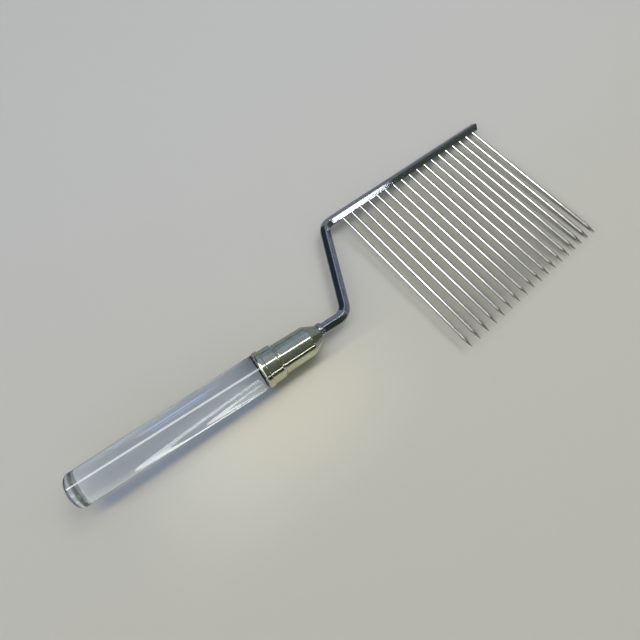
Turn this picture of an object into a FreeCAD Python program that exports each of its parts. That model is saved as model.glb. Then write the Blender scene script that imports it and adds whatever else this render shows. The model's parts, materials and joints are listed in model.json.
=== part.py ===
"""Uncapping fork: clear acrylic handle, plated ferrule and collar, cranked square bar and a comb of needles.

Fork frame, used to lay the pieces out: X along the handle from the butt end towards the comb, Y in the
plane of the fork towards the crossbar, Z up, origin at the centre of the butt end. The whole fork is then
set down on the ground plane z = 0 as it comes to rest, on the ferrule's rim, the crossbar's free end and
the last needle, with the origin under the middle of its outline.
"""

import FreeCAD
import Part
import Sketcher
import math
import os

V = FreeCAD.Vector

# Driving dimensions: alias, value (millimetres, degrees or a plain count), meaning.
DIMENSIONS = [
    ("needle_count", 18, "needles in the comb"),
    ("needle_pitch", 5.4, "centre to centre of neighbouring needles"),
    ("needle_radius", 0.62, "needle wire radius"),
    ("needle_length", 81.4, "needle from seated end to tip"),
    ("needle_seat", 1.4, "how far a needle goes past the axis of the bar"),
    ("needle_shoulder", 77.6, "needle from seated end to where the ground point begins"),
    ("needle_tip_radius", 0.1, "radius left at the very tip"),
    ("bar_width", 3.7, "square bar across its flats"),
    ("bar_corner", 0.8, "corner radius of the square bar"),
    ("bar_offset", 1.0, "bar axis to handle axis, in the fork's plane"),
    ("stub_length", 7.5, "straight bar between the collar and the first bend"),
    ("crank_length", 34.85, "straight bar between the two bends"),
    ("bend_radius", 6.5, "bar axis radius in both bends"),
    ("crank_angle", 66.3, "crank to handle axis"),
    ("flare_angle", 4.75, "crossbar to handle axis"),
    ("first_needle", 6.05, "second bend's end to the first needle"),
    ("crossbar_length", 102.0, "straight bar beyond the second bend"),
    ("bar_end_round", 0.7, "rounding of the crossbar's free end"),
    ("tang_radius", 1.8, "turned tang of the bar"),
    ("tang_end", 73.3, "station of the tang's rear end"),
    ("collar_radius", 2.95, "collar where the bar leaves the ferrule"),
    ("collar_length", 2.4, "collar along the bar"),
    ("collar_round", 0.7, "rounding of the collar's edges"),
    ("butt_radius", 6.25, "handle at its free end"),
    ("grip_radius", 7.15, "handle where it meets the ferrule"),
    ("butt_round", 1.1, "rounding of the butt's rim"),
    ("rim_rear", 68.5, "station of the ferrule's rear face"),
    ("rim_front", 71.2, "station where the rolled rim ends"),
    ("spigot_step", 74.7, "station where the handle's spigot steps down"),
    ("band_end", 76.2, "station where the ferrule's band ends"),
    ("groove_end", 76.9, "station where the ferrule's body starts"),
    ("spigot_end", 89.2, "station of the spigot's front end"),
    ("cavity_end", 89.8, "station of the ferrule's inner end wall"),
    ("body_end", 90.4, "station where the ferrule's nose cone starts"),
    ("nose_end", 95.5, "station of the ferrule's front face"),
    ("rim_radius", 7.55, "rolled rim of the ferrule"),
    ("band_radius", 7.05, "band of the ferrule"),
    ("groove_radius", 6.0, "bottom of the groove between band and body"),
    ("body_rear_radius", 6.3, "ferrule body behind"),
    ("body_front_radius", 6.15, "ferrule body in front"),
    ("nose_radius", 3.7, "front face of the ferrule"),
    ("spigot_radius", 6.2, "handle spigot under the band"),
    ("spigot_tip_radius", 5.4, "handle spigot under the body"),
    ("rim_round", 1.2, "rounding of the rolled rim behind"),
    ("rim_face_round", 0.45, "rounding of the rolled rim in front"),
    ("band_round", 0.5, "rounding of the band's front edge"),
    ("body_round", 0.2, "rounding of the body's rear edge"),
    ("shoulder_round", 0.9, "rounding between body and nose cone"),
    ("nose_round", 0.5, "rounding of the nose's front edge"),
    ("rest_behind", 117.4, "butt centre behind the middle of the fork's outline"),
    ("rest_aside", 6.38, "butt centre to the open side of the middle of the outline"),
    ("rest_height", 10.296, "butt centre above the ground"),
    ("rest_pitch", 2.229, "nose-down lean of the handle axis at rest"),
    ("rest_roll", 1.167, "lean of the fork's plane about the handle axis at rest"),
]

doc = FreeCAD.newDocument("UncappingFork")
sheet = doc.addObject("Spreadsheet::Sheet", "Sizes")
for row, (alias, value, meaning) in enumerate(DIMENSIONS, start=1):
    sheet.set("A%d" % row, alias)
    sheet.set("B%d" % row, str(value))
    sheet.set("C%d" % row, meaning)
    sheet.setAlias("B%d" % row, alias)
doc.recompute()


def size(alias):
    """The value of one driving dimension."""
    return float(sheet.get(alias))


def cell(alias):
    """The expression that reads one driving dimension."""
    return "Sizes." + alias


def origin_feature(body, role):
    """One of the body's own origin planes or axes."""
    return [feature for feature in body.Origin.OriginFeatures if feature.Role == role][0]


def new_body(label):
    """An empty body for one sub-part."""
    body = doc.addObject("PartDesign::Body", label)
    body.Label = label
    return body


def new_sketch(body, name, plane, offset=FreeCAD.Placement()):
    """A sketch on one of the body's origin planes."""
    sketch = body.newObject("Sketcher::SketchObject", body.Label + "_" + name)
    sketch.AttachmentSupport = [(origin_feature(body, plane), "")]
    sketch.MapMode = "FlatFace"
    sketch.AttachmentOffset = offset
    return sketch


def bind_constraint(sketch, constraint, expression):
    """Adds a dimensional constraint and ties it to the sheet."""
    index = sketch.addConstraint(constraint)
    sketch.setExpression("Constraints[%d]" % index, expression)


def bind(obj, prop, expression):
    """Ties one property to the sheet."""
    obj.setExpression(prop, expression)


def polygon_sketch(body, name, corners):
    """A closed profile on the XY plane; each corner names its station and its radius, or None for zero."""
    sketch = new_sketch(body, name, "XY_Plane")
    points = [V(size(x) if x else 0.0, size(r) if r else 0.0, 0) for x, r in corners]
    count = len(points)
    for index in range(count):
        sketch.addGeometry(Part.LineSegment(points[index], points[(index + 1) % count]))
    for index in range(count):
        sketch.addConstraint(Sketcher.Constraint("Coincident", index, 2, (index + 1) % count, 1))
    for index, (x, r) in enumerate(corners):
        if x:
            station = Sketcher.Constraint("DistanceX", -1, 1, index, 1, points[index].x)
            bind_constraint(sketch, station, cell(x))
        else:
            sketch.addConstraint(Sketcher.Constraint("PointOnObject", index, 1, -2))
        if r:
            radius = Sketcher.Constraint("DistanceY", -1, 1, index, 1, points[index].y)
            bind_constraint(sketch, radius, cell(r))
        else:
            sketch.addConstraint(Sketcher.Constraint("PointOnObject", index, 1, -1))
    return sketch


def circle_sketch(body, name, plane, offset, radius_alias, centre_alias=None):
    """A circle, centred on the sketch's origin or shifted along its horizontal axis."""
    sketch = new_sketch(body, name, plane, offset)
    shift = size(centre_alias) if centre_alias else 0.0
    sketch.addGeometry(Part.Circle(V(shift, 0, 0), V(0, 0, 1), size(radius_alias)))
    bind_constraint(sketch, Sketcher.Constraint("Radius", 0, size(radius_alias)), cell(radius_alias))
    if centre_alias:
        bind_constraint(sketch, Sketcher.Constraint("DistanceX", -1, 1, 0, 3, shift), cell(centre_alias))
        sketch.addConstraint(Sketcher.Constraint("PointOnObject", 0, 3, -1))
    else:
        sketch.addConstraint(Sketcher.Constraint("Coincident", 0, 3, -1, 1))
    return sketch


def revolve(body, sketch, axis="H_Axis"):
    """Turns a profile about an axis of its own sketch."""
    turned = body.newObject("PartDesign::Revolution", body.Label + "_turned")
    turned.Profile = sketch
    turned.ReferenceAxis = (sketch, [axis])
    turned.Angle = 360
    sketch.Visibility = False
    doc.recompute()
    return turned


def round_edges(body, name, base, edges, radius_alias):
    """Rounds the named edges of the body's last feature."""
    fillet = body.newObject("PartDesign::Fillet", body.Label + "_" + name)
    fillet.Base = (base, edges)
    bind(fillet, "Radius", cell(radius_alias))
    doc.recompute()
    return fillet


def circle_edges(shape, x, radius):
    """Names of the full circles about the X axis at a station and radius."""
    found = []
    for index, edge in enumerate(shape.Edges, start=1):
        curve = edge.Curve
        if not isinstance(curve, Part.Circle):
            continue
        if abs(curve.Center.x - x) < 1e-3 and abs(curve.Radius - radius) < 1e-3:
            found.append("Edge%d" % index)
    return found


def drill_tang_hole(body, start_alias):
    """Cuts the off-centre round hole that takes the bar's tang, from a station to the front."""
    volume_before = body.Shape.Volume
    offset = FreeCAD.Placement(V(0, 0, size(start_alias)), FreeCAD.Rotation())
    sketch = circle_sketch(body, "tang_circle", "YZ_Plane", offset, "tang_radius", "bar_offset")
    hole = body.newObject("PartDesign::Pocket", body.Label + "_tang_hole")
    hole.Profile = sketch
    hole.Type = "ThroughAll"
    hole.Reversed = True
    sketch.Visibility = False
    doc.recompute()
    if body.Shape.Volume > volume_before - 1.0:
        raise RuntimeError("the tang hole of %s cuts nothing" % body.Label)
    return hole


def make_handle():
    """Tapered clear rod with a rounded butt and a stepped spigot that goes into the ferrule."""
    body = new_body("handle")
    profile = polygon_sketch(body, "profile", [
        (None, None),
        (None, "butt_radius"),
        ("rim_rear", "grip_radius"),
        ("rim_rear", "spigot_radius"),
        ("spigot_step", "spigot_radius"),
        ("spigot_step", "spigot_tip_radius"),
        ("spigot_end", "spigot_tip_radius"),
        ("spigot_end", None),
    ])
    turned = revolve(body, profile)
    butt = circle_edges(turned.Shape, 0.0, size("butt_radius"))
    round_edges(body, "butt_rim", turned, butt, "butt_round")
    drill_tang_hole(body, "tang_end")
    return body


def make_ferrule():
    """Turned shell: rolled rim, band, groove, slightly tapered body and a nose cone with the tang's hole."""
    body = new_body("ferrule")
    profile = polygon_sketch(body, "profile", [
        ("rim_rear", "spigot_radius"),
        ("rim_rear", "rim_radius"),
        ("rim_front", "rim_radius"),
        ("rim_front", "band_radius"),
        ("band_end", "band_radius"),
        ("band_end", "groove_radius"),
        ("groove_end", "groove_radius"),
        ("groove_end", "body_rear_radius"),
        ("body_end", "body_front_radius"),
        ("nose_end", "nose_radius"),
        ("nose_end", None),
        ("cavity_end", None),
        ("cavity_end", "spigot_tip_radius"),
        ("spigot_step", "spigot_tip_radius"),
        ("spigot_step", "spigot_radius"),
    ])
    base = revolve(body, profile)
    for name, station, radius, rounding in [
        ("rim_back", "rim_rear", "rim_radius", "rim_round"),
        ("rim_face", "rim_front", "rim_radius", "rim_face_round"),
        ("band_edge", "band_end", "band_radius", "band_round"),
        ("body_edge", "groove_end", "body_rear_radius", "body_round"),
        ("shoulder", "body_end", "body_front_radius", "shoulder_round"),
        ("nose_edge", "nose_end", "nose_radius", "nose_round"),
    ]:
        edges = circle_edges(base.Shape, size(station), size(radius))
        base = round_edges(body, name, base, edges, rounding)
    drill_tang_hole(body, "cavity_end")
    return body


def make_collar():
    """Rounded ring on the tang, between the ferrule's nose and the shoulder of the square bar."""
    body = new_body("collar")
    profile = polygon_sketch(body, "profile", [
        (None, "tang_radius"),
        (None, "collar_radius"),
        ("collar_length", "collar_radius"),
        ("collar_length", "tang_radius"),
    ])
    turned = revolve(body, profile)
    edges = circle_edges(turned.Shape, 0.0, size("collar_radius"))
    edges += circle_edges(turned.Shape, size("collar_length"), size("collar_radius"))
    round_edges(body, "edges", turned, edges, "collar_round")
    return body


def bar_section(body):
    """Rounded square, set on edge across the bar's path."""
    on_edge = FreeCAD.Placement(V(0, 0, 0), FreeCAD.Rotation(V(0, 0, 1), 45))
    sketch = new_sketch(body, "section", "YZ_Plane", on_edge)
    corner = size("bar_corner")
    reach = size("bar_width") / 2 - corner
    turns = [V(1, 0, 0), V(0, 1, 0), V(-1, 0, 0), V(0, -1, 0)]
    centres = [V(reach, reach, 0), V(-reach, reach, 0), V(-reach, -reach, 0), V(reach, -reach, 0)]
    for index in range(4):
        circle = Part.Circle(centres[index], V(0, 0, 1), corner)
        sketch.addGeometry(Part.ArcOfCircle(circle, index * math.pi / 2, (index + 1) * math.pi / 2))
    for index in range(4):
        start = centres[index] + turns[(index + 1) % 4] * corner
        end = centres[(index + 1) % 4] + turns[(index + 1) % 4] * corner
        sketch.addGeometry(Part.LineSegment(start, end))
    for index in range(4):
        sketch.addConstraint(Sketcher.Constraint("Tangent", index, 2, 4 + index, 1))
        sketch.addConstraint(Sketcher.Constraint("Tangent", 4 + index, 2, (index + 1) % 4, 1))
    sketch.addConstraint(Sketcher.Constraint("Horizontal", 4))
    sketch.addConstraint(Sketcher.Constraint("Vertical", 5))
    sketch.addConstraint(Sketcher.Constraint("Symmetric", 0, 3, 2, 3, -1, 1))
    for index in range(1, 4):
        sketch.addConstraint(Sketcher.Constraint("Equal", 0, index))
    sketch.addConstraint(Sketcher.Constraint("Equal", 4, 5))
    bind_constraint(sketch, Sketcher.Constraint("Radius", 0, corner), cell("bar_corner"))
    across = Sketcher.Constraint("DistanceX", 5, 1, 7, 1, 2 * (reach + corner))
    bind_constraint(sketch, across, cell("bar_width"))
    return sketch


def straight_directions():
    """Directions of the bar's three straights: stub, crank and crossbar."""
    angles = [0.0, math.radians(size("crank_angle")), math.radians(size("flare_angle"))]
    return [V(math.cos(angle), math.sin(angle), 0) for angle in angles]


def bend(start, direction_in, direction_out, radius):
    """One in-plane bend: (centre, end point, left turn or not)."""
    left = direction_in.cross(direction_out).z > 0
    side = V(-direction_in.y, direction_in.x, 0) if left else V(direction_in.y, -direction_in.x, 0)
    centre = start + side * radius
    outward = V(direction_out.y, -direction_out.x, 0) if left else V(-direction_out.y, direction_out.x, 0)
    return centre, centre + outward * radius, left


def path_points():
    """Ends of the three straights of the bar's axis, and the centres of its two bends."""
    stub, crank, crossbar = straight_directions()
    radius = size("bend_radius")
    start = V(0, 0, 0)
    stub_end = start + stub * size("stub_length")
    centre_1, crank_start, _ = bend(stub_end, stub, crank, radius)
    crank_end = crank_start + crank * size("crank_length")
    centre_2, crossbar_start, _ = bend(crank_end, crank, crossbar, radius)
    crossbar_end = crossbar_start + crossbar * size("crossbar_length")
    return [start, stub_end, crank_start, crank_end, crossbar_start, crossbar_end], [centre_1, centre_2]


def path_sketch(body):
    """The bar's axis: stub, first bend, crank, second bend, crossbar."""
    sketch = new_sketch(body, "path", "XY_Plane")
    points, centres = path_points()
    radius = size("bend_radius")
    crank_angle = math.radians(size("crank_angle"))
    flare_angle = math.radians(size("flare_angle"))
    quarter = math.pi / 2
    sketch.addGeometry(Part.LineSegment(points[0], points[1]))
    first = Part.Circle(centres[0], V(0, 0, 1), radius)
    sketch.addGeometry(Part.ArcOfCircle(first, -quarter, crank_angle - quarter))
    sketch.addGeometry(Part.LineSegment(points[2], points[3]))
    second = Part.Circle(centres[1], V(0, 0, 1), radius)
    sketch.addGeometry(Part.ArcOfCircle(second, flare_angle + quarter, crank_angle + quarter))
    sketch.addGeometry(Part.LineSegment(points[4], points[5]))
    sketch.addConstraint(Sketcher.Constraint("Coincident", 0, 1, -1, 1))
    sketch.addConstraint(Sketcher.Constraint("Horizontal", 0))
    sketch.addConstraint(Sketcher.Constraint("Tangent", 0, 2, 1, 1))
    sketch.addConstraint(Sketcher.Constraint("Tangent", 1, 2, 2, 1))
    sketch.addConstraint(Sketcher.Constraint("Tangent", 2, 2, 3, 2))
    sketch.addConstraint(Sketcher.Constraint("Tangent", 3, 1, 4, 1))
    for line, length in [(0, "stub_length"), (2, "crank_length"), (4, "crossbar_length")]:
        bind_constraint(sketch, Sketcher.Constraint("Distance", line, size(length)), cell(length))
    for arc in (1, 3):
        bind_constraint(sketch, Sketcher.Constraint("Radius", arc, radius), cell("bend_radius"))
    for line, angle in [(2, "crank_angle"), (4, "flare_angle")]:
        lean = Sketcher.Constraint("Angle", line, math.radians(size(angle)))
        bind_constraint(sketch, lean, cell(angle) + " * 1 deg")
    return sketch


def first_needle_place():
    """The first needle's foot on the bar's axis, in the bar's frame, with X along the crossbar."""
    points, _ = path_points()
    foot = points[4] + straight_directions()[2] * size("first_needle")
    return FreeCAD.Placement(foot, FreeCAD.Rotation(V(0, 0, 1), size("flare_angle")))


def free_end_edges(shape):
    """Names of the edges around the flat free end of the crossbar."""
    direction = straight_directions()[2]
    farthest = max(vertex.Point.dot(direction) for vertex in shape.Vertexes)
    names = []
    for index, edge in enumerate(shape.Edges, start=1):
        if all(abs(vertex.Point.dot(direction) - farthest) < 1e-3 for vertex in edge.Vertexes):
            names.append("Edge%d" % index)
    return names


def make_bar():
    """Square bar set on edge and bent twice, with a turned tang behind and a row of blind needle holes."""
    body = new_body("bar")
    section = bar_section(body)
    path = path_sketch(body)
    doc.recompute()
    swept = body.newObject("PartDesign::AdditivePipe", "bar_swept")
    swept.Profile = section
    swept.Spine = path
    section.Visibility = False
    path.Visibility = False
    doc.recompute()
    tang_circle = circle_sketch(body, "tang_circle", "YZ_Plane", FreeCAD.Placement(), "tang_radius")
    tang = body.newObject("PartDesign::Pad", "bar_tang")
    tang.Profile = tang_circle
    tang.Reversed = True
    bind(tang, "Length", "%s + %s - %s" % (cell("nose_end"), cell("collar_length"), cell("tang_end")))
    tang_circle.Visibility = False
    doc.recompute()
    rounded = round_edges(body, "free_end", tang, free_end_edges(tang.Shape), "bar_end_round")
    volume_before = rounded.Shape.Volume
    holes = needle_holes(body)
    expected = size("needle_count") * math.pi * size("needle_radius") ** 2 * size("needle_seat")
    if holes.Shape.Volume > volume_before - expected:
        raise RuntimeError("the needle holes are missing")
    return body


def needle_holes(body):
    """One blind hole from the crossbar's front edge past its axis, repeated along the comb."""
    depth = size("needle_seat")
    mouth = size("bar_width")
    radius = size("needle_radius")
    sketch = new_sketch(body, "hole_profile", "XY_Plane", first_needle_place())
    corners = [V(0, depth, 0), V(radius, depth, 0), V(radius, -mouth, 0), V(0, -mouth, 0)]
    for index in range(4):
        sketch.addGeometry(Part.LineSegment(corners[index], corners[(index + 1) % 4]))
    for index in range(4):
        sketch.addConstraint(Sketcher.Constraint("Coincident", index, 2, (index + 1) % 4, 1))
    sketch.addConstraint(Sketcher.Constraint("Horizontal", 0))
    sketch.addConstraint(Sketcher.Constraint("Vertical", 1))
    sketch.addConstraint(Sketcher.Constraint("Horizontal", 2))
    sketch.addConstraint(Sketcher.Constraint("PointOnObject", 0, 1, -2))
    sketch.addConstraint(Sketcher.Constraint("PointOnObject", 3, 1, -2))
    bind_constraint(sketch, Sketcher.Constraint("DistanceY", -1, 1, 0, 1, depth), cell("needle_seat"))
    bind_constraint(sketch, Sketcher.Constraint("DistanceY", 3, 1, -1, 1, mouth), cell("bar_width"))
    bind_constraint(sketch, Sketcher.Constraint("DistanceX", 0, 1, 0, 2, radius), cell("needle_radius"))
    hole = body.newObject("PartDesign::Groove", "bar_needle_hole")
    hole.Profile = sketch
    hole.ReferenceAxis = (sketch, ["V_Axis"])
    hole.Angle = 360
    sketch.Visibility = False
    doc.recompute()
    row = body.newObject("PartDesign::LinearPattern", "bar_needle_holes")
    row.Originals = [hole]
    row.Direction = (sketch, ["H_Axis"])
    bind(row, "Occurrences", cell("needle_count"))
    bind(row, "Length", "(%s - 1) * %s" % (cell("needle_count"), cell("needle_pitch")))
    body.Tip = row
    doc.recompute()
    return row


def make_needle(number):
    """Straight round needle with a ground point."""
    body = new_body("needle_%02d" % number)
    profile = polygon_sketch(body, "profile", [
        (None, None),
        (None, "needle_radius"),
        ("needle_shoulder", "needle_radius"),
        ("needle_length", "needle_tip_radius"),
        ("needle_length", None),
    ])
    revolve(body, profile)
    return body


def needle_place(number):
    """A needle's place in the bar's frame: its X axis runs from the seated end towards the tip."""
    along = V((number - 1) * size("needle_pitch"), size("needle_seat"), 0)
    seat = FreeCAD.Placement(along, FreeCAD.Rotation(V(0, 0, 1), -90))
    return first_needle_place().multiply(seat)


def rest_place():
    """Where the fork frame sits when the fork lies at rest on the ground."""
    pitch = FreeCAD.Rotation(V(0, 1, 0), size("rest_pitch"))
    roll = FreeCAD.Rotation(V(1, 0, 0), size("rest_roll"))
    butt_centre = V(-size("rest_behind"), -size("rest_aside"), size("rest_height"))
    return FreeCAD.Placement(butt_centre, pitch.multiply(roll))


def check(body):
    """Stops if any of the body's features failed or its solid isn't sound."""
    for feature in body.Group + [body]:
        if "Invalid" in feature.State or "Error" in feature.State:
            raise RuntimeError("%s failed: %s" % (feature.Name, feature.State))
    shape = body.Shape
    if shape.isNull() or not shape.isValid() or len(shape.Solids) != 1:
        raise RuntimeError("%s isn't one valid solid" % body.Label)


no_turn = FreeCAD.Rotation()
collar_frame = FreeCAD.Placement(V(size("nose_end"), size("bar_offset"), 0), no_turn)
bar_frame = FreeCAD.Placement(V(size("nose_end") + size("collar_length"), size("bar_offset"), 0), no_turn)
places = [
    (make_handle(), FreeCAD.Placement()),
    (make_ferrule(), FreeCAD.Placement()),
    (make_collar(), collar_frame),
    (make_bar(), bar_frame),
]
for number in range(1, int(size("needle_count")) + 1):
    places.append((make_needle(number), bar_frame.multiply(needle_place(number))))

for body, place in places:
    body.Placement = rest_place().multiply(place)
doc.recompute()

for body, place in places:
    check(body)

os.makedirs("parts", exist_ok=True)
for body, place in places:
    body.Shape.exportStep("parts/%s.step" % body.Label)
    box = body.Shape.BoundBox
    print("%-10s volume %9.2f  z %7.3f to %7.3f" % (body.Label, body.Shape.Volume, box.ZMin, box.ZMax))
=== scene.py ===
"""Looks for the uncapping fork: clear handle, nickel ferrule, chrome bar and needles on a pale table."""

import json
import math

import bpy
from mathutils import Euler, Matrix, Vector


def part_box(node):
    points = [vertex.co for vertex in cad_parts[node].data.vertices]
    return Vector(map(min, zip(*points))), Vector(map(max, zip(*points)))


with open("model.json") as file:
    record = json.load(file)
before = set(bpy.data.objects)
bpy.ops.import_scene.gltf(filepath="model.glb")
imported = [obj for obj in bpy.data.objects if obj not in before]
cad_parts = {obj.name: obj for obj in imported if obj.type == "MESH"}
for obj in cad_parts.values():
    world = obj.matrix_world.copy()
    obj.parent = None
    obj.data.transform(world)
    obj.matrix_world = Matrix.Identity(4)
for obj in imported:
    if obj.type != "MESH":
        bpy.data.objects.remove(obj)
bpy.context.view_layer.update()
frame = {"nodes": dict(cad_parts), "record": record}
nodes = frame["nodes"]

# How the fork lies: its own frame has X along the handle from the butt, Y towards the crossbar, Z up.
BUTT_CENTRE = Vector(frame["record"]["mounts"][0]["pos_m"])
FORK_LEAN = Euler((math.radians(1.167), math.radians(2.229), 0.0), "XYZ")
COMB_FLARE = math.radians(4.75)
MM = 0.001

# The long lamp overhead, seen as the white line down the handle. Lamps and panels are placed in metres.
TUBE_CENTRE = (-0.15, 0.195, 1.0)
TUBE_ALONG = (0.881, -0.473, 0.0)
# The same lamp as the clear plastic shows it from inside, as a bright wedge.
INNER_CENTRE = (-0.15, 0.10, 1.0)
# How the overhead lamps that light the table are turned about the vertical.
LAMP_TURN = math.radians(-20.0)
# Ranges of X, used to show a panel to some pieces only.
PLASTIC_END = -49.3 * MM
HANDLE_SIDE = (-1.0, PLASTIC_END)
COMB_SIDE = (PLASTIC_END, 1.0)
FERRULE_SIDE = (PLASTIC_END, -21.0 * MM)
NOSE_SIDE = (-27.4 * MM, -21.9 * MM)
EVERYWHERE = (-1.0, 1.0)

# The pale backdrop's colour, and how many times light may bounce inside the clear handle.
BACKDROP = (0.50, 0.50, 0.48)
CLEAR_PLASTIC_BOUNCES = 20

NEEDLES = sorted(name for name in nodes if name.startswith("needle_"))


# ---------------------------------------------------------------- node graphs

class Graph:
    """Short calls for building a shader's node tree."""

    def __init__(self, tree):
        self.tree = tree
        tree.nodes.clear()

    def add(self, kind, **settings):
        node = self.tree.nodes.new(kind)
        for name, value in settings.items():
            setattr(node, name, value)
        return node

    def put(self, socket, value):
        """Links a socket, or sets the input's own value."""
        if isinstance(value, bpy.types.NodeSocket):
            self.tree.links.new(value, socket)
        else:
            socket.default_value = value

    def math(self, operation, a, b=0.0, c=0.0, clamp=False):
        node = self.add("ShaderNodeMath", operation=operation, use_clamp=clamp)
        for socket, value in zip(node.inputs, (a, b, c)):
            self.put(socket, value)
        return node.outputs[0]

    def vector(self, operation, a, b=(0.0, 0.0, 0.0)):
        node = self.add("ShaderNodeVectorMath", operation=operation)
        self.put(node.inputs[0], a)
        self.put(node.inputs[1], b)
        return node.outputs["Value" if operation in ("DOT_PRODUCT", "LENGTH") else "Vector"]

    def split(self, vector):
        node = self.add("ShaderNodeSeparateXYZ")
        self.put(node.inputs[0], vector)
        return node.outputs

    def join(self, x, y, z):
        node = self.add("ShaderNodeCombineXYZ")
        for socket, value in zip(node.inputs, (x, y, z)):
            self.put(socket, value)
        return node.outputs[0]

    def noise(self, vector, scale, detail=2.0, roughness=0.5):
        node = self.add("ShaderNodeTexNoise")
        self.put(node.inputs["Vector"], vector)
        for name, value in (("Scale", scale), ("Detail", detail), ("Roughness", roughness)):
            self.put(node.inputs[name], value)
        return node.outputs["Fac"]

    def range(self, value, low, high, new_low=0.0, new_high=1.0):
        """Maps low to high smoothly onto new_low to new_high, and holds the ends beyond."""
        node = self.add("ShaderNodeMapRange", interpolation_type="SMOOTHSTEP")
        for socket, number in zip(node.inputs, (value, low, high, new_low, new_high)):
            self.put(socket, number)
        return node.outputs[0]

    def mix(self, factor, a, b):
        node = self.add("ShaderNodeMix", data_type="RGBA")
        self.put(node.inputs[0], factor)
        self.put(node.inputs[6], a if isinstance(a, bpy.types.NodeSocket) else tuple(a) + (1.0,))
        self.put(node.inputs[7], b if isinstance(b, bpy.types.NodeSocket) else tuple(b) + (1.0,))
        return node.outputs[2]

    def scale(self, vector, factor):
        node = self.add("ShaderNodeVectorMath", operation="SCALE")
        self.put(node.inputs[0], vector)
        self.put(node.inputs["Scale"], factor)
        return node.outputs[0]

    def bump(self, height, distance, strength=1.0, normal=None):
        node = self.add("ShaderNodeBump")
        self.put(node.inputs["Strength"], strength)
        self.put(node.inputs["Distance"], distance)
        self.put(node.inputs["Height"], height)
        if normal is not None:
            self.put(node.inputs["Normal"], normal)
        return node.outputs[0]

    def fork_point(self):
        """The shaded point in the fork's own frame, in metres."""
        coordinates = self.add("ShaderNodeTexCoord")
        mapping = self.add("ShaderNodeMapping", vector_type="TEXTURE")
        self.put(mapping.inputs["Vector"], coordinates.outputs["Object"])
        mapping.inputs["Location"].default_value = BUTT_CENTRE
        mapping.inputs["Rotation"].default_value = FORK_LEAN
        return mapping.outputs[0]

    def turned_normal(self, point, slope=0.0):
        """The exact normal of a piece turned about the fork's X axis, on its outside faces only."""
        x, y, z = self.split(point)
        radius = self.vector("LENGTH", self.join(0.0, y, z))
        outward = self.vector("NORMALIZE", self.join(self.math("MULTIPLY", radius, -slope), y, z))
        turn = self.add("ShaderNodeMapping", vector_type="VECTOR")
        self.put(turn.inputs["Vector"], outward)
        turn.inputs["Rotation"].default_value = FORK_LEAN
        geometry = self.add("ShaderNodeNewGeometry")
        side = self.math("MULTIPLY_ADD", geometry.outputs["Backfacing"], -2.0, 1.0)
        exact = self.scale(turn.outputs[0], side)
        meshed = geometry.outputs["Normal"]
        outside = self.math("GREATER_THAN", self.vector("DOT_PRODUCT", exact, meshed), 0.985)
        choice = self.add("ShaderNodeMix", data_type="VECTOR")
        self.put(choice.inputs[0], outside)
        self.put(choice.inputs[4], meshed)
        self.put(choice.inputs[5], exact)
        return choice.outputs[1]

    def lamp_line(self, normal, centre, along, half_length, half_width):
        """How far a mirror with this normal shows the camera a straight level lamp one metre up: the mask of
        a painted reflection.
        """
        reflected = self.add("ShaderNodeVectorMath", operation="REFLECT")
        self.put(reflected.inputs[0], self.add("ShaderNodeNewGeometry").outputs["Incoming"])
        self.put(reflected.inputs[1], normal)
        x, y, up = self.split(self.scale(reflected.outputs[0], -1.0))
        lowest = 0.05
        reach = self.math("DIVIDE", 1.0, self.math("MAXIMUM", up, lowest))
        offset_x = self.math("SUBTRACT", self.math("MULTIPLY", x, reach), centre[0])
        offset_y = self.math("SUBTRACT", self.math("MULTIPLY", y, reach), centre[1])
        lengthwise = self.math("ADD", self.math("MULTIPLY", offset_x, along[0]),
                               self.math("MULTIPLY", offset_y, along[1]))
        sideways = self.math("SUBTRACT", self.math("MULTIPLY", offset_y, along[0]),
                             self.math("MULTIPLY", offset_x, along[1]))
        inside = self.range(self.math("ABSOLUTE", sideways), half_width, half_width * 0.6)
        ends = self.range(self.math("ABSOLUTE", lengthwise), half_length, half_length * 0.95)
        seen = self.math("MULTIPLY", inside, ends)
        seen = self.math("MULTIPLY", seen, self.add("ShaderNodeLightPath").outputs["Is Camera Ray"])
        return self.math("MULTIPLY", seen, self.math("GREATER_THAN", up, lowest))

    def principled(self, **inputs):
        node = self.add("ShaderNodeBsdfPrincipled")
        for name, value in inputs.items():
            self.put(node.inputs[name.replace("_", " ")], value)
        output = self.add("ShaderNodeOutputMaterial")
        self.put(output.inputs["Surface"], node.outputs[0])
        return node


def new_material(name):
    material = bpy.data.materials.new(name)
    material.use_nodes = True
    return material, Graph(material.node_tree)


def dress(node_name, material):
    """Gives a CAD node a material."""
    piece = nodes[node_name]
    piece.data.materials.clear()
    piece.data.materials.append(material)


# ---------------------------------------------------------------- materials

def painted_lamp_reflections(g, normal):
    """Painted reflections: the lamps as thin glowing lines along the polished handle, one white, two blue."""
    white = g.lamp_line(normal, TUBE_CENTRE, TUBE_ALONG, 1.3, 0.085)
    blue = g.lamp_line(normal, (-0.276, 1.735), (0.819, 0.575), 0.20, 0.20)
    faint_blue = g.lamp_line(normal, (-0.180, 0.893), (0.870, 0.493), 0.11, 0.06)
    lamps = g.mix(g.math("MULTIPLY", white, 0.85), (0.0, 0.0, 0.0), (0.62, 0.66, 0.66))
    return g.mix(g.math("MAXIMUM", blue, g.math("MULTIPLY", faint_blue, 0.7)), lamps, (0.22, 0.34, 0.80))


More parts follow.
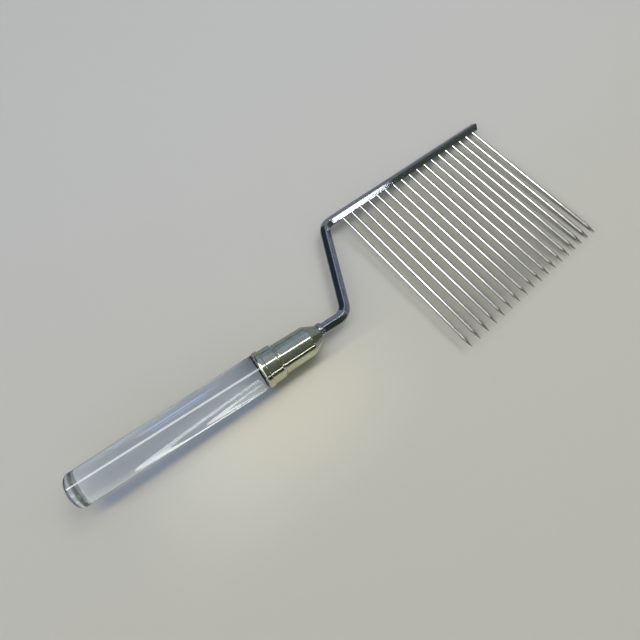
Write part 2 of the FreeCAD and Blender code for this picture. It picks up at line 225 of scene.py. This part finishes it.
def acrylic():
    """Clear cast acrylic, polished, with faint lengthwise handling scratches; its rim at the butt is tinted
    dark as painted shade.
    """
    taper_slope = 0.0131
    material, g = new_material("clear_acrylic")
    point = g.fork_point()
    lengthwise = g.vector("MULTIPLY", point, (60.0, 1500.0, 1500.0))
    scratches = g.range(g.noise(lengthwise, 1.0, 3.0), 0.62, 0.74)
    haze = g.noise(point, 90.0, 3.0)
    roughness = g.math("ADD", g.math("MULTIPLY", scratches, 0.03), g.range(haze, 0.4, 0.8, 0.0, 0.02))
    waves = g.noise(g.vector("MULTIPLY", point, (30.0, 90.0, 90.0)), 1.0, 1.0)
    exact = g.turned_normal(point, taper_slope)
    height = g.math("ADD", waves, g.math("MULTIPLY", scratches, -0.02))
    normal = g.bump(height, 0.00002, 0.05, exact)
    station, across, up = g.split(point)
    # Painted shade: a dark grey tint on the outer rim within about a millimetre of the butt end.
    outer = g.range(g.vector("LENGTH", g.join(0.0, across, up)), 5.1 * MM, 5.4 * MM)
    painted_rim_shade = g.math("MULTIPLY", outer, g.range(station, 1.25 * MM, 1.0 * MM))
    tint = g.mix(haze, (0.915, 0.955, 0.995), (0.935, 0.97, 1.0))
    tint = g.mix(painted_rim_shade, tint, (0.22, 0.23, 0.24))
    # Painted reflections: the lamps' lines glow on the handle through its emission.
    g.principled(Base_Color=tint, Roughness=roughness, IOR=1.49, Transmission_Weight=1.0, Normal=normal,
                 Emission_Color=painted_lamp_reflections(g, exact), Emission_Strength=1.0)
    return material


def nickel():
    """Bright nickel plate over turned brass: fine turning rings, a warm tint and faint tarnish."""
    material, g = new_material("nickel_plate")
    point = g.fork_point()
    station = g.split(point)[0]
    rings = g.noise(g.join(g.math("MULTIPLY", station, 5200.0), 0.0, 0.0), 1.0, 2.0)
    blotches = g.noise(point, 240.0, 4.0, 0.6)
    specks = g.range(g.noise(point, 1300.0, 2.0), 0.66, 0.76)
    tint = g.mix(g.range(blotches, 0.35, 0.7), (0.75, 0.76, 0.62), (0.63, 0.635, 0.48))
    tint = g.mix(g.math("MULTIPLY", specks, 0.5), tint, (0.28, 0.25, 0.19))
    roughness = g.math("ADD", g.range(blotches, 0.3, 0.75, 0.07, 0.18), g.math("MULTIPLY", specks, 0.15))
    waves = g.noise(point, 150.0, 1.0)
    normal = g.bump(waves, 0.00012, 0.5, g.turned_normal(point))
    normal = g.bump(rings, 0.000004, 1.0, normal)
    g.principled(Base_Color=tint, Metallic=1.0, Roughness=roughness, Normal=normal)
    return material


def chrome():
    """Bright chrome plate over a drawn and bent bar: cool, slightly wavy, with hairline scratches."""
    material, g = new_material("chrome_plate")
    point = g.fork_point()
    waves = g.noise(point, 190.0, 2.0)
    fine = g.noise(point, 2400.0, 2.0)
    smears = g.noise(g.vector("MULTIPLY", point, (260.0, 900.0, 900.0)), 1.0, 3.0, 0.6)
    hairlines = g.range(g.noise(g.vector("MULTIPLY", point, (500.0, 4200.0, 4200.0)), 1.0, 2.0), 0.64, 0.72)
    tint = g.mix(g.range(smears, 0.35, 0.7), (0.55, 0.59, 0.63), (0.45, 0.49, 0.53))
    roughness = g.math("ADD", g.range(smears, 0.3, 0.75, 0.02, 0.07), g.math("MULTIPLY", hairlines, 0.08))
    normal = g.bump(waves, 0.00005, 0.5)
    normal = g.bump(g.math("ADD", fine, hairlines), 0.000006, 1.0, normal)
    g.principled(Base_Color=tint, Metallic=1.0, Roughness=roughness, Normal=normal)
    return material


def needle_tip_line():
    """Where the tips end, along the comb frame's Y axis."""
    wire_radius = 0.62 * MM
    low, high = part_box(NEEDLES[0])
    tip = Vector((high.x - wire_radius, low.y, low.z)) - BUTT_CENTRE
    tip = FORK_LEAN.to_matrix().inverted() @ tip
    return (Matrix.Rotation(-COMB_FLARE, 3, "Z") @ tip).y


def needle_steel():
    """Polished stainless wire: drawn lines along it, grinding rings and a darker tone near the point."""
    material, g = new_material("needle_steel")
    turn = g.add("ShaderNodeVectorRotate", rotation_type="Z_AXIS")
    g.put(turn.inputs["Vector"], g.fork_point())
    turn.inputs["Angle"].default_value = -COMB_FLARE
    across, along, up = g.split(turn.outputs[0])
    drawn = g.noise(g.join(g.math("MULTIPLY", across, 5200.0), g.math("MULTIPLY", along, 70.0),
                           g.math("MULTIPLY", up, 5200.0)), 1.0, 2.0)
    blotches = g.noise(turn.outputs[0], 130.0, 3.0, 0.6)
    random = g.add("ShaderNodeObjectInfo").outputs["Random"]
    tone = g.math("ADD", blotches, g.math("MULTIPLY", random, 0.25))
    tint = g.mix(g.range(tone, 0.35, 0.9), (0.68, 0.67, 0.64), (0.60, 0.59, 0.56))
    grinding = g.noise(g.math("MULTIPLY", along, 6000.0), 1.0, 1.0)
    tips = needle_tip_line()
    ground = g.range(along, tips + 5.5 * MM, tips + 3.2 * MM)
    tint = g.mix(g.math("MULTIPLY", ground, 0.65), tint, (0.13, 0.12, 0.10))
    roughness = g.math("ADD", g.range(blotches, 0.3, 0.8, 0.12, 0.20), g.math("MULTIPLY", ground, 0.12))
    height = g.math("ADD", drawn, g.math("MULTIPLY", g.math("MULTIPLY", grinding, ground), 0.8))
    g.principled(Base_Color=tint, Metallic=1.0, Roughness=roughness, Normal=g.bump(height, 0.000001))
    return material


def rod_light(g, point, tint):
    """The clear handle's cool edge shadow and the warm light it spreads beyond, on the table's open side."""
    x, y, _ = g.split(point)
    ends = g.math("MULTIPLY", g.range(x, -122.0 * MM, -113.0 * MM), g.range(x, -20.0 * MM, -30.0 * MM))
    shade = g.math("MULTIPLY", g.range(y, -9.0 * MM, -12.5 * MM), g.range(y, -16.0 * MM, -13.6 * MM))
    cast = g.mix(g.range(x, -50.0 * MM, -44.0 * MM), (0.54, 0.60, 0.69), (0.46, 0.48, 0.34))
    tint = g.mix(g.math("MULTIPLY", shade, ends), tint, cast)
    spread = g.math("MULTIPLY", g.range(y, -13.6 * MM, -16.5 * MM), g.range(y, -68.0 * MM, -20.0 * MM))
    length = g.math("MULTIPLY", g.range(x, -120.0 * MM, -66.0 * MM), g.range(x, 20.0 * MM, -50.0 * MM))
    warm = g.mix(g.range(x, -100.0 * MM, -45.0 * MM), (0.96, 0.97, 0.86), (0.97, 0.945, 0.76))
    return g.mix(g.math("MULTIPLY", g.math("MULTIPLY", spread, length), 0.85), tint, warm)


def comb_shade(g, point, tint):
    """The olive cast that the rows of needles throw on the table under them."""
    comb = g.add("ShaderNodeMapping", vector_type="TEXTURE")
    g.put(comb.inputs["Vector"], point)
    comb.inputs["Location"].default_value = (70.0 * MM, -2.0 * MM, 0.0)
    comb.inputs["Rotation"].default_value = (0.0, 0.0, COMB_FLARE)
    along, across, _ = g.split(g.vector("ABSOLUTE", comb.outputs[0]))
    under = g.math("MULTIPLY", g.range(along, 52.0 * MM, 40.0 * MM), g.range(across, 44.0 * MM, 30.0 * MM))
    return g.mix(under, tint, (0.54, 0.54, 0.455))


def glare_tint(g, point):
    """Painted light and shade for the table as metal mirrors it: a dull dark copy, and near the handle dull
    on one side, glaring on the other.
    """
    away = g.split(g.add("ShaderNodeNewGeometry").outputs["Incoming"])[1]
    near_handle = g.range(g.split(point)[0], 0.0, -20.0 * MM)
    glare = g.math("MULTIPLY", g.range(away, -0.15, 0.75), near_handle)
    return g.mix(glare, (0.36, 0.38, 0.42), (0.78, 0.77, 0.62))


def fade_to_backdrop(g, surface, point):
    """Lets the table pass into the plain backdrop far from the fork."""
    cove = g.add("ShaderNodeEmission")
    cove.inputs["Color"].default_value = BACKDROP + (1.0,)
    blend = g.add("ShaderNodeMixShader")
    g.put(blend.inputs[0], g.range(g.vector("LENGTH", point), 0.35, 1.6))
    g.put(blend.inputs[1], surface.outputs[0])
    g.put(blend.inputs[2], cove.outputs[0])
    g.put(g.tree.nodes["Material Output"].inputs["Surface"], blend.outputs[0])


def table_top():
    """Pale matt laminate with a faint mottled tint and a fine grain, with painted shade, shadow and light
    where the fork lies.
    """
    material, g = new_material("table_top")
    point = g.add("ShaderNodeTexCoord").outputs["Object"]
    mottle = g.math("MULTIPLY", g.noise(point, 6.0, 2.0), 0.12)
    warm = g.range(g.math("SUBTRACT", mottle, g.split(point)[1]), -0.10, 0.20)
    tint = g.mix(warm, (0.732, 0.736, 0.728), (0.746, 0.742, 0.640))
    # Painted shade under the comb, and the handle's painted shadow and light beside it.
    tint = comb_shade(g, point, tint)
    tint = rod_light(g, point, tint)
    grain = g.noise(point, 900.0, 2.0)
    tint = g.mix(g.math("MULTIPLY", grain, 0.10), tint, (0.60, 0.60, 0.59))
    rays = g.add("ShaderNodeLightPath")
    # Painted light and shade: mirrors see the table in the glare tint.
    tint = g.mix(rays.outputs["Is Glossy Ray"], tint, glare_tint(g, point))
    # Painted light: clear plastic sees a plain, lighter copy of the table.
    tint = g.mix(rays.outputs["Is Transmission Ray"], tint, (0.80, 0.805, 0.80))
    surface = g.principled(Base_Color=tint, Roughness=0.55, Normal=g.bump(grain, 0.00003, 0.4))
    fade_to_backdrop(g, surface, point)
    return material


# ---------------------------------------------------------------- stage

def plane(name, centre, along, across, outline):
    """A flat piece facing along x across, its outline given in metres along and across."""
    along = Vector(along).normalized()
    across = (Vector(across) - along * along.dot(Vector(across))).normalized()
    corners = [centre + along * a + across * b for a, b in outline]
    mesh = bpy.data.meshes.new(name)
    mesh.from_pydata([tuple(c) for c in corners], [], [(0, 1, 2, 3)])
    piece = bpy.data.objects.new(name, mesh)
    bpy.context.scene.collection.objects.link(piece)
    return piece


def rectangle(length, width):
    """The outline of a rectangle centred on its piece."""
    a, b = length / 2, width / 2
    return [(-a, -b), (a, -b), (a, b), (-a, b)]


def table():
    """The plain table under the fork."""
    piece = plane("table", Vector((0, 0, 0)), (1, 0, 0), (0, 1, 0), rectangle(12.0, 12.0))
    piece.data.materials.append(table_top())


def placed(direction, distance):
    """The point that lies that far from the origin in a direction."""
    return Vector(direction).normalized() * distance


def seen_from(g, reach):
    """One where the ray set out above the table and at an X within the reach, otherwise zero."""
    geometry = g.add("ShaderNodeNewGeometry")
    back = g.scale(geometry.outputs["Incoming"], g.add("ShaderNodeLightPath").outputs["Ray Length"])
    x, _, z = g.split(g.vector("ADD", geometry.outputs["Position"], back))
    within = g.math("MULTIPLY", g.math("GREATER_THAN", x, reach[0]), g.math("LESS_THAN", x, reach[1]))
    return g.math("MULTIPLY", within, g.math("GREATER_THAN", z, 0.3 * MM))


def panel(name, centre, along, outline, colour, strength, reach=EVERYWHERE):
    """A glowing panel facing the fork, that only mirrors and clear plastic see, from within its reach."""
    towards = Vector(centre).normalized()
    across = towards.cross(Vector(along)).normalized()
    piece = plane(name, Vector(centre), Vector(along), across, outline)
    material, g = new_material(name)
    emission = g.add("ShaderNodeEmission")
    emission.inputs["Color"].default_value = tuple(colour) + (1.0,)
    emission.inputs["Strength"].default_value = strength
    choice = g.add("ShaderNodeMixShader")
    g.put(choice.inputs[0], seen_from(g, reach))
    g.put(choice.inputs[1], g.add("ShaderNodeBsdfTransparent").outputs[0])
    g.put(choice.inputs[2], emission.outputs[0])
    output = g.add("ShaderNodeOutputMaterial")
    g.put(output.inputs["Surface"], choice.outputs[0])
    piece.data.materials.append(material)
    piece.visible_camera = False
    piece.visible_diffuse = False
    piece.visible_shadow = False
    return piece


def aimed_at_fork(location):
    """The turn that points a lamp at the origin."""
    return (-Vector(location)).to_track_quat("-Z", "Y")


def turned_flat(angle):
    """The turn of a lamp that faces straight down, about the vertical."""
    return Euler((0.0, 0.0, angle), "XYZ").to_quaternion()


def area_light(name, location, turn, size, energy, colour, size_y=None):
    """A soft lamp, round or, with a second size, rectangular; mirrors don't show it."""
    light = bpy.data.lights.new(name, "AREA")
    light.shape = "DISK" if size_y is None else "RECTANGLE"
    light.size = size
    if size_y is not None:
        light.size_y = size_y
    light.energy = energy
    light.color = colour
    lamp = bpy.data.objects.new(name, light)
    lamp.location = location
    lamp.rotation_mode = "QUATERNION"
    lamp.rotation_quaternion = turn
    lamp.visible_glossy = False
    lamp.visible_camera = False
    bpy.context.scene.collection.objects.link(lamp)


def mirrored_room(g, x, y, z):
    """The room as mirrors see it in a direction: dark walls, a grey ceiling and one bright side."""
    side = g.range(y, -0.6, 0.6)
    walls = g.mix(side, (0.038, 0.044, 0.036), (0.030, 0.036, 0.055))
    walls = g.mix(g.range(x, 0.35, 0.9), walls, (0.085, 0.088, 0.07))
    ceiling = g.mix(side, (0.10, 0.115, 0.09), (0.30, 0.35, 0.44))
    room = g.mix(g.range(z, 0.42, 0.70), walls, ceiling)
    bright_side = g.math("MULTIPLY", g.range(x, -0.45, -0.75), g.range(y, 0.70, 0.30))
    bright_side = g.math("MULTIPLY", bright_side, g.range(z, 0.04, 0.20))
    return g.mix(bright_side, room, (1.0, 1.0, 0.97))


def studio():
    """A dark room to mirrors and clear plastic, soft light to the table, a pale backdrop to the camera."""
    world = bpy.data.worlds.new("studio")
    bpy.context.scene.world = world
    world.use_nodes = True
    g = Graph(world.node_tree)
    x, y, z = g.split(g.add("ShaderNodeTexCoord").outputs["Generated"])
    rays = g.add("ShaderNodeLightPath")
    room = mirrored_room(g, x, y, z)
    through = g.mix(g.range(z, 0.0, 0.8), (0.04, 0.045, 0.05), (0.12, 0.15, 0.19))
    room = g.mix(rays.outputs["Is Transmission Ray"], room, through)
    lit = g.math("GREATER_THAN", rays.outputs["Diffuse Depth"], 0.5)
    lit = g.math("SUBTRACT", lit, rays.outputs["Is Glossy Ray"], clamp=True)
    seen = g.mix(lit, room, (0.28, 0.29, 0.32))
    seen = g.mix(rays.outputs["Is Camera Ray"], seen, BACKDROP)
    background = g.add("ShaderNodeBackground")
    g.put(background.inputs["Color"], seen)
    output = g.add("ShaderNodeOutputWorld")
    g.put(output.inputs["Surface"], background.outputs[0])


def camera():
    """The view down onto the fork from above the handle's open side."""
    data = bpy.data.cameras.new("camera")
    data.sensor_width = 36.0
    data.lens = 20.76
    data.clip_start = 0.005
    data.clip_end = 50.0
    right = Vector((0.8122, -0.5818, 0.0425))
    ahead = Vector((0.2503, 0.2818, -0.9263)).normalized()
    right = (right - ahead * right.dot(ahead)).normalized()
    up = right.cross(ahead)
    piece = bpy.data.objects.new("camera", data)
    turn = Matrix((right, up, -ahead)).transposed().to_4x4()
    piece.matrix_world = Matrix.Translation(Vector((-54.87, -42.99, 142.05)) * MM) @ turn
    bpy.context.scene.collection.objects.link(piece)
    bpy.context.scene.camera = piece


# ---------------------------------------------------------------- assembly

def dress_fork():
    """Gives every CAD node its material; nothing is added to the fork or changed on it."""
    dress("handle", acrylic())
    dress("ferrule", nickel())
    plate = chrome()
    dress("collar", plate)
    dress("bar", plate)
    steel = needle_steel()
    for needle in NEEDLES:
        dress(needle, steel)


def mirrored_panels():
    """The windows and the long lamp, as the metal mirrors them and the clear handle shows them."""
    daylight = (1.0, 0.99, 0.97)
    wedge = [(-0.026, 0.008), (0.228, -0.043), (0.228, 0.020), (-0.026, 0.060)]
    panel("window", placed((0.583, -0.731, 0.355), 1.5), (0.731, 0.583, 0.0), wedge, daylight, 6.0)
    panel("skylight", placed((-0.66, 0.15, 0.74), 1.5), (0.74, 0.0, 0.66), rectangle(2.4, 0.50),
          daylight, 5.0, COMB_SIDE)
    panel("far_window", placed((0.12, 0.93, 0.36), 1.5), (1.0, -0.13, 0.0), rectangle(1.3, 0.8),
          (0.55, 0.74, 1.0), 0.36)
    panel("side_strip", placed((0.18, -0.905, 0.386), 1.4), (0.98, 0.07, -0.30), rectangle(0.34, 0.035),
          (1.0, 0.95, 0.90), 7.0, FERRULE_SIDE)
    panel("nose_window", placed((0.84, 0.38, 0.30), 1.5), (-0.41, 0.91, 0.0), rectangle(1.3, 0.9),
          (0.80, 0.95, 1.0), 0.25, NOSE_SIDE)
    panel("tube_glow", TUBE_CENTRE, TUBE_ALONG, rectangle(2.6, 0.06), (1.0, 1.0, 0.95), 5.0, COMB_SIDE)
    inner_glow = panel("inner_glow", INNER_CENTRE, TUBE_ALONG, rectangle(3.0, 0.07), (0.97, 1.0, 0.95), 8.0,
                       HANDLE_SIDE)
    inner_glow.visible_glossy = False


def lamps():
    """A small key lamp for crisp shadows, and two long ones overhead."""
    key = (0.50, 0.33, 0.95)
    area_light("key_lamp", key, aimed_at_fork(key), 0.45, 1.6, (1.0, 0.975, 0.92))
    area_light("soft_lamp", (-0.10, 0.02, 1.0), turned_flat(LAMP_TURN), 1.4, 0.4, (1.0, 0.98, 0.93), 0.30)
    area_light("tube_lamp", (-0.10, 0.20, 1.0), turned_flat(LAMP_TURN), 2.6, 4.4, (1.0, 0.97, 0.92), 0.03)


dress_fork()
table()
studio()
mirrored_panels()
lamps()
camera()
bpy.context.scene.view_settings.view_transform = "Standard"
for bounces in ("max_bounces", "glossy_bounces", "transmission_bounces"):
    setattr(bpy.context.scene.cycles, bounces, CLEAR_PLASTIC_BOUNCES)
